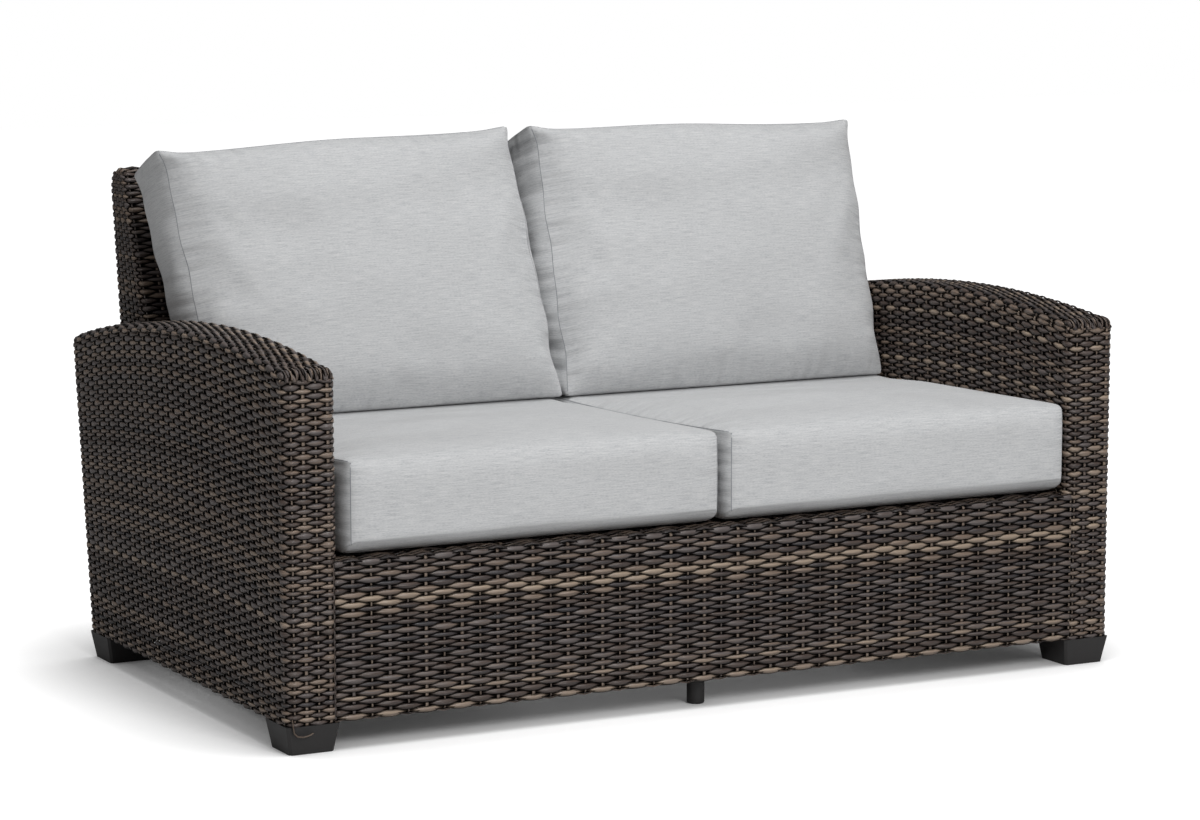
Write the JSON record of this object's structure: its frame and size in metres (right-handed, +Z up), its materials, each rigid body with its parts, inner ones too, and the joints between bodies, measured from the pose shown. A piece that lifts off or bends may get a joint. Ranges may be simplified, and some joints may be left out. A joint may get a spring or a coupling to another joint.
{
  "type": "patio loveseat",
  "caption": "Woven resin patio loveseat with bowed arms, tapered block feet, a centre leg, and loose box cushions on the seat and against the raked back.",
  "frame": {"origin": "on the floor, under the middle of the loveseat's bounding box", "axes": "+X to the viewer's right when facing the front, +Y from the front to the rear, +Z up"},
  "size_m": [1.48, 0.94, 0.8679],
  "materials": {
    "resin_weave": "satin, mottled brown and grey strands",
    "frame_tube": "dark powder coat",
    "leg_paint": "black powder coat",
    "foot_plastic": "matt charcoal",
    "steel_fasteners": "zinc plated",
    "cushion_fabric": "woven, matt",
    "cushion_foam": "open cell foam",
    "zip_tape": "woven tape with moulded teeth",
    "zip_metal": "plated"
  },
  "bodies": {
    "frame": {"apron_centre_upright": "frame_tube", "arm_ties": "frame_tube", "back_cross_bar": "frame_tube", "back_top_rail": "frame_tube", "back_weave": "resin_weave", "centre_leg": "leg_paint", "centre_leg_cap": "foot_plastic", "corner_plates": "frame_tube", "foot_nuts": "steel_fasteners", "foot_screws": "steel_fasteners", "front_apron_weave": "resin_weave", "front_base_rail": "frame_tube", "left_arm_base_rails": "frame_tube", "left_arm_top_rails": "frame_tube", "left_arm_weave": "resin_weave", "left_back_front_post": "frame_tube", "left_back_rear_post": "frame_tube", "left_front_foot": "foot_plastic", "left_inner_front_post": "frame_tube", "left_inner_rear_post": "frame_tube", "left_outer_front_post": "frame_tube", "left_outer_rear_post": "frame_tube", "left_rear_foot": "foot_plastic", "left_seat_side_rail": "frame_tube", "rear_apron_weave": "resin_weave", "rear_base_rail": "frame_tube", "rear_centre_upright": "frame_tube", "right_arm_base_rails": "frame_tube", "right_arm_top_rails": "frame_tube", "right_arm_weave": "resin_weave", "right_back_front_post": "frame_tube", "right_back_rear_post": "frame_tube", "right_front_foot": "foot_plastic", "right_inner_front_post": "frame_tube", "right_inner_rear_post": "frame_tube", "right_outer_front_post": "frame_tube", "right_outer_rear_post": "frame_tube", "right_rear_foot": "foot_plastic", "right_seat_side_rail": "frame_tube", "seat_centre_beam": "frame_tube", "seat_cross_bars": "frame_tube", "seat_deck_weave": "resin_weave", "seat_front_rail": "frame_tube", "seat_rear_rail": "frame_tube"},
    "left_seat_cushion": {"left_seat_cushion_cover": "cushion_fabric", "left_seat_cushion_foam": "cushion_foam", "left_seat_cushion_zip": "zip_tape"},
    "left_seat_zip_slider": {"left_seat_cushion_zip_slider": "zip_metal"},
    "left_back_cushion": {"left_back_cushion_cover": "cushion_fabric", "left_back_cushion_foam": "cushion_foam", "left_back_cushion_zip": "zip_tape"},
    "left_back_zip_slider": {"left_back_cushion_zip_slider": "zip_metal"},
    "right_seat_cushion": {"right_seat_cushion_cover": "cushion_fabric", "right_seat_cushion_foam": "cushion_foam", "right_seat_cushion_zip": "zip_tape"},
    "right_seat_zip_slider": {"right_seat_cushion_zip_slider": "zip_metal"},
    "right_back_cushion": {"right_back_cushion_cover": "cushion_fabric", "right_back_cushion_foam": "cushion_foam", "right_back_cushion_zip": "zip_tape"},
    "right_back_zip_slider": {"right_back_cushion_zip_slider": "zip_metal"}
  },
  "joints": [
    {"name": "left_seat_cushion_lift", "type": "slide", "parent": "frame", "child": "left_seat_cushion", "axis": [0, 0, 1], "range_m": [0, 0.45]},
    {"name": "left_back_cushion_lift", "type": "slide", "parent": "left_seat_cushion", "child": "left_back_cushion", "axis": [0, 0, 1], "range_m": [0, 0.5]},
    {"name": "left_seat_zip", "type": "slide", "parent": "left_seat_cushion", "child": "left_seat_zip_slider", "axis": [1, 0, 0], "range_m": [0, 0.496]},
    {"name": "left_back_zip", "type": "slide", "parent": "left_back_cushion", "child": "left_back_zip_slider", "axis": [1, 0, 0], "range_m": [0, 0.496]},
    {"name": "right_seat_cushion_lift", "type": "slide", "parent": "frame", "child": "right_seat_cushion", "axis": [0, 0, 1], "range_m": [0, 0.45]},
    {"name": "right_back_cushion_lift", "type": "slide", "parent": "right_seat_cushion", "child": "right_back_cushion", "axis": [0, 0, 1], "range_m": [0, 0.5]},
    {"name": "right_seat_zip", "type": "slide", "parent": "right_seat_cushion", "child": "right_seat_zip_slider", "axis": [1, 0, 0], "range_m": [0, 0.496]},
    {"name": "right_back_zip", "type": "slide", "parent": "right_back_cushion", "child": "right_back_zip_slider", "axis": [1, 0, 0], "range_m": [0, 0.496]}
  ]
}
